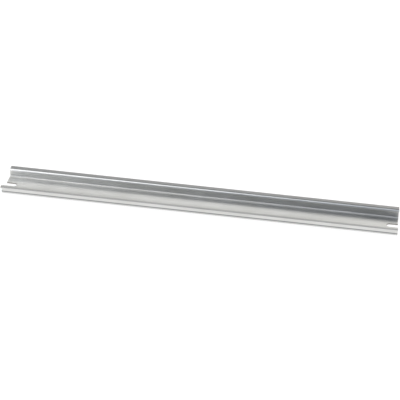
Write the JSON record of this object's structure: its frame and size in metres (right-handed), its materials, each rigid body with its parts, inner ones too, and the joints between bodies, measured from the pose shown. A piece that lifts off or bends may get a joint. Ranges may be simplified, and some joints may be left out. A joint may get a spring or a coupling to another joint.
{
  "type": "din rail",
  "caption": "Top-hat mounting rail of plated steel strip, with an open slot in the base at each cut end for its fixing screws.",
  "frame": {"origin": "centre of the mounting face, on the underside of the base", "axes": "+X along the rail, +Y across it to one flange, +Z from the mounting face to the open side and the flanges' tops"},
  "size_m": [0.3, 0.035, 0.0075],
  "materials": {
    "rail": "bright zinc plating, satin, with faint lines along the rail"
  },
  "bodies": {
    "root": {"rail": "rail"}
  },
  "joints": []
}
